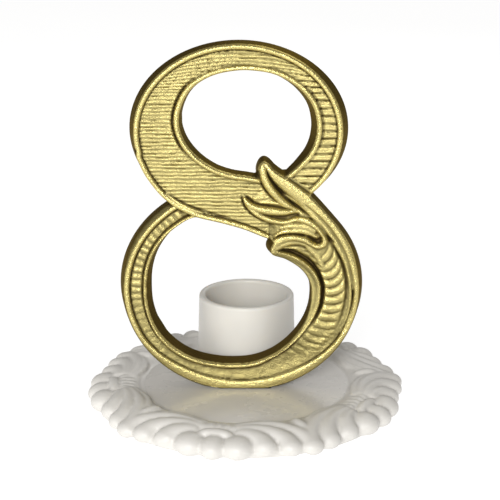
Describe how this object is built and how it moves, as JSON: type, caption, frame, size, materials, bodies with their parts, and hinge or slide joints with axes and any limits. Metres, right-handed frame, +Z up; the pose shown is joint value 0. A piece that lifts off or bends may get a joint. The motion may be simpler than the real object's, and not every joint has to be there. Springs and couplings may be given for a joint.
{
  "type": "table number holder",
  "caption": "Ornate round base that carries a standing gilt figure eight with a scrolled leaf, and a tea light cup behind it.",
  "frame": {"origin": "middle of the base's underside, on the table", "axes": "+Z up, and the figure's face looks along -Y"},
  "size_m": [0.1537, 0.1521, 0.1721],
  "materials": {
    "backing_felt": "dark grey felt",
    "white_casting": "matte white, softly rounded plaster-like casting",
    "cup_plastic": "smooth white, slightly milky",
    "screw_steel": "zinc-plated steel",
    "cement": "dark amber cement",
    "gilding": "pale gold leaf paint with fine grain, darker in the recesses"
  },
  "bodies": {
    "root": {"base_pad": "backing_felt", "base_rosette": "white_casting", "candle_cup": "cup_plastic", "cup_screw": "screw_steel", "figure_cement_bed": "cement", "figure_eight": "gilding", "figure_screw_left": "screw_steel", "figure_screw_right": "screw_steel"}
  },
  "joints": []
}
